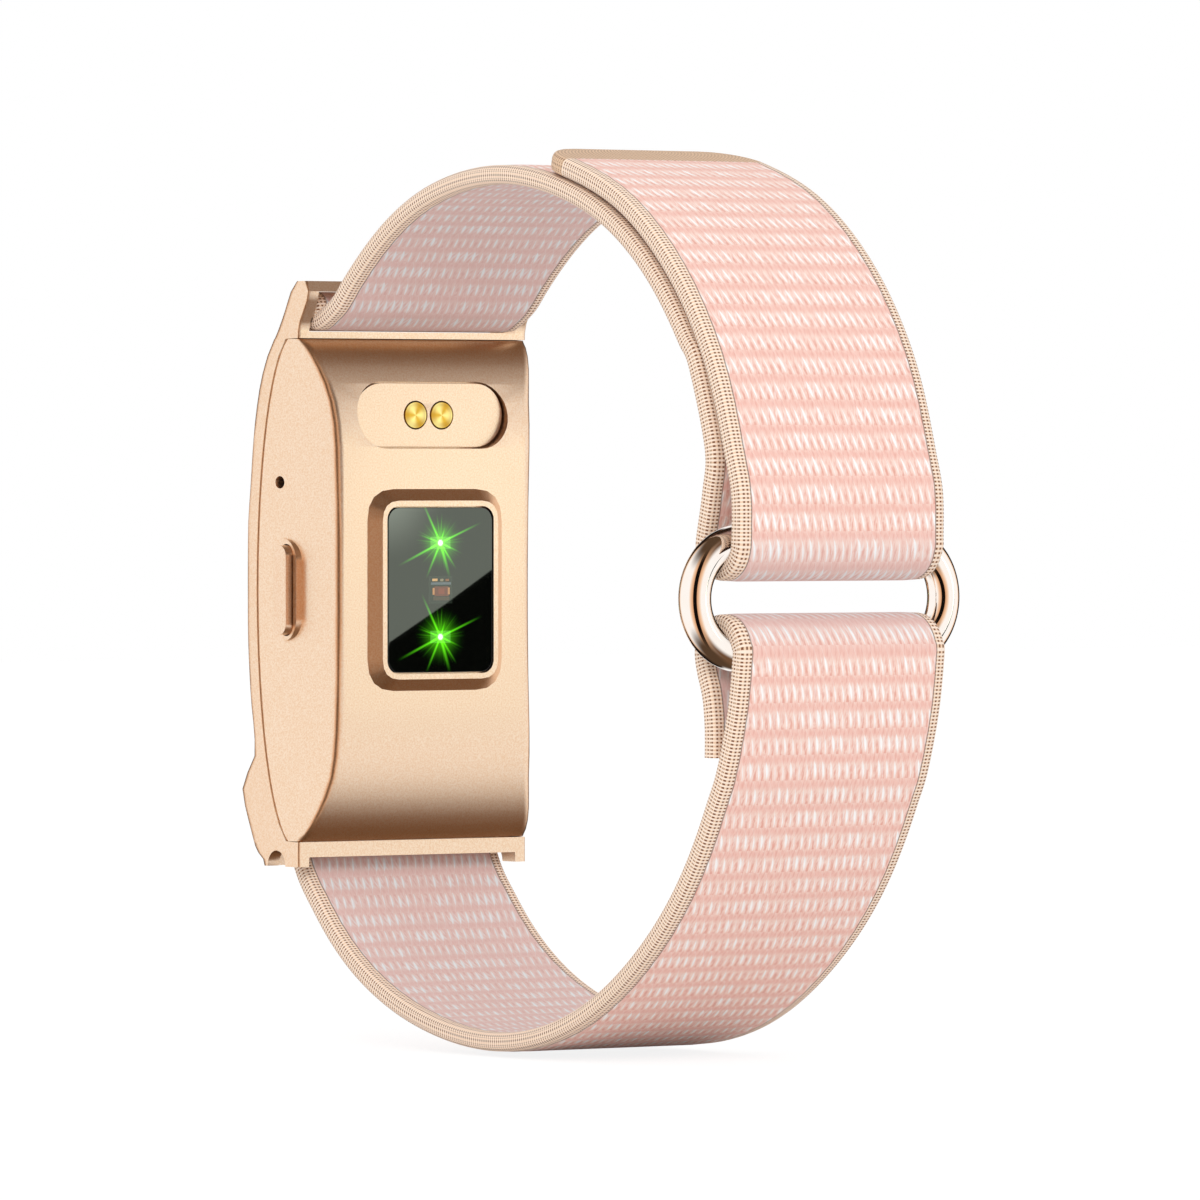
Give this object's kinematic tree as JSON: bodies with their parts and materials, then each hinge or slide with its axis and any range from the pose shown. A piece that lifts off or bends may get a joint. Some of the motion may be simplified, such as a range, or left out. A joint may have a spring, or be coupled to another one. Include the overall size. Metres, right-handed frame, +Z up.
{
  "type": "fitness tracker band",
  "caption": "Slim metal fitness tracker with a rear optical sensor, side button and charging contacts, on a woven hook-and-loop strap that closes through an oval ring.",
  "frame": {"origin": "centre of the wrist opening, halfway across the strap", "axes": "+Z up along the longer way of the opening, towards the charging end of the tracker; +X from the tracker to the ring; +Y across the strap, away from the side button"},
  "size_m": [0.0677, 0.0268, 0.0718],
  "materials": {
    "case_metal": "bead blasted and anodised, champagne gold",
    "cover_glass": "polished dark glass",
    "seal_rubber": "matte",
    "display": "smooth dark panel",
    "flex_film": "polyimide film",
    "inner_plastic": "moulded",
    "battery_pouch": "silver foil",
    "circuit_board": "solder mask",
    "bright_steel": "satin",
    "green_led": "clear lens over a green emitter",
    "contact_gold": "spun and gold plated",
    "ring_metal": "mirror polished, rose gold",
    "webbing": "cross-ribbed weave, pink with tan edges",
    "tip_weave": "dense tan weave",
    "hook_tape": "hook pile"
  },
  "bodies": {
    "tracker": {"carrier_frame": "case_metal", "back_case": "case_metal", "charging_plate": "case_metal", "front_glass": "cover_glass", "sensor_window": "cover_glass", "glass_gasket": "seal_rubber", "light_wall": "seal_rubber", "vent_membrane": "seal_rubber", "display_panel": "display", "display_flex": "flex_film", "switch_flex": "flex_film", "chassis": "inner_plastic", "photodiode": "inner_plastic", "button_switch": "inner_plastic", "battery": "battery_pouch", "main_board": "circuit_board", "sensor_board": "circuit_board", "shield_can": "bright_steel", "board_screw_left": "bright_steel", "board_screw_right": "bright_steel", "vibration_motor": "bright_steel", "upper_pin_tube": "bright_steel", "upper_pin_tip_left": "bright_steel", "upper_pin_tip_right": "bright_steel", "lower_pin_tube": "bright_steel", "lower_pin_tip_left": "bright_steel", "lower_pin_tip_right": "bright_steel", "led_upper": "green_led", "led_lower": "green_led", "contact_left": "contact_gold", "contact_right": "contact_gold"},
    "button": {"side_button": "case_metal", "button_seal": "seal_rubber"},
    "upper_band": {"upper_strap": "webbing"},
    "tab": {"closure_tab": "webbing", "tab_tip": "tip_weave", "hook_patch": "hook_tape"},
    "ring": {"closing_ring": "ring_metal"},
    "lower_band": {"lower_strap": "webbing"}
  },
  "joints": [
    {"name": "button_press", "type": "slide", "parent": "tracker", "child": "button", "axis": [0, 1, 0], "range_m": [0, 0.00035], "stiffness_N_per_m": 300},
    {"name": "upper_strap_turn", "type": "hinge", "parent": "tracker", "child": "upper_band", "pos_m": [-0.0287, 0, 0.02335], "axis": [0, 1, 0], "range_deg": [-3, 3]},
    {"name": "lower_strap_turn", "type": "hinge", "parent": "tracker", "child": "lower_band", "pos_m": [-0.0312, 0, -0.0199], "axis": [0, 1, 0], "range_deg": [-3.2, 3.2]},
    {"name": "ring_swing", "type": "hinge", "parent": "upper_band", "child": "ring", "pos_m": [0.0278, 0, 0.0049], "axis": [0, 1, 0], "range_deg": [-15, 15]},
    {"name": "closure_tab_peel", "type": "hinge", "parent": "upper_band", "child": "tab", "pos_m": [0.03087, 0, 0.00505], "axis": [0, 1, 0], "range_deg": [0, 100]}
  ],
  "couplings": [
    {"joint": "lower_strap_turn", "follows": "upper_strap_turn", "ratio": 0.958},
    {"joint": "ring_swing", "follows": "upper_strap_turn", "ratio": -4.784}
  ]
}
